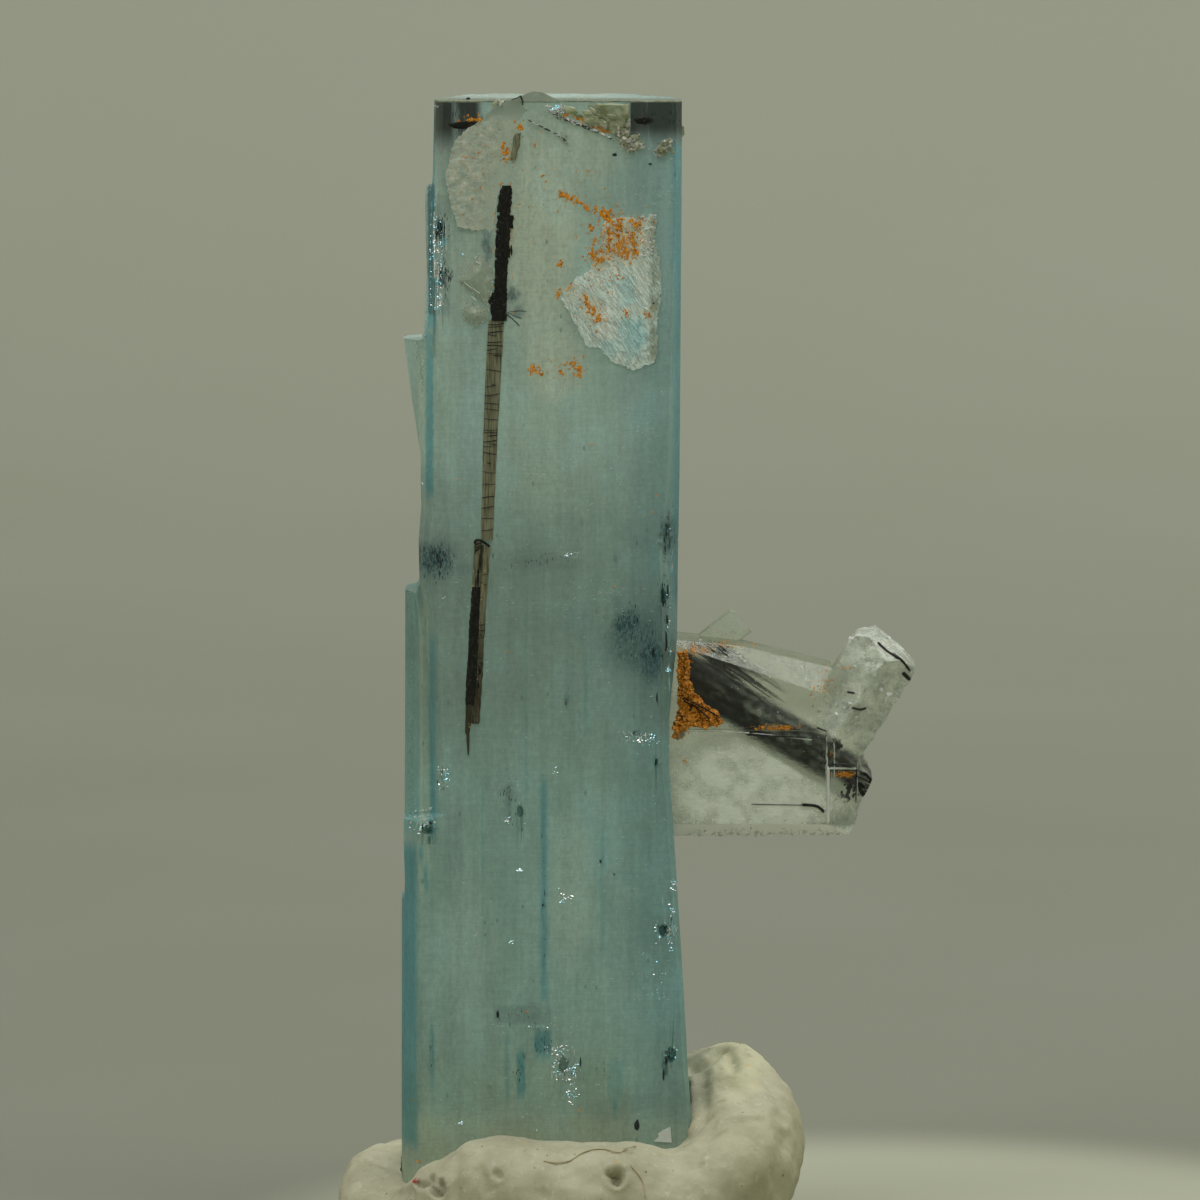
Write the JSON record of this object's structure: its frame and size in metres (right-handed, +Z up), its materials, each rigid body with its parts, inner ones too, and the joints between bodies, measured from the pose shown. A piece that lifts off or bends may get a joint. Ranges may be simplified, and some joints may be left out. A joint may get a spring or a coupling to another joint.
{
  "type": "aquamarine crystal",
  "caption": "Tall blue-green aquamarine prism with black schorl needles and a clear crystal cluster on its side, standing upright in a wound lump of mounting putty.",
  "frame": {"origin": "on the surface that the putty rests on, under the crystal's long axis", "axes": "+Z up along the crystal, +X to the right of its wide front face, -Y out of that face towards the viewer"},
  "size_m": [0.0232, 0.0159, 0.0465],
  "materials": {
    "aquamarine": "clear to milky blue-green, glassy with fine upright striations",
    "clear_crystal": "colourless, glassy",
    "schorl": "black, glossy, ribbed lengthwise",
    "pale_rind": "milky grey-green to cream, dull",
    "mica": "silvery, pearly, with orange stains",
    "iron_oxide": "rusty orange, earthy",
    "putty": "off-white, matte, kneaded"
  },
  "bodies": {
    "root": {"aquamarine_crystal": "aquamarine", "clear_crystal_cluster": "clear_crystal", "clear_grain_upper": "clear_crystal", "clear_grain_lower": "clear_crystal", "schorl_needle_upper": "schorl", "schorl_needle_lower": "schorl", "schorl_prism": "schorl", "pale_rind": "pale_rind", "pale_grains": "pale_rind", "mica_flake": "mica", "iron_crust": "iron_oxide", "mounting_putty": "putty"}
  },
  "joints": []
}
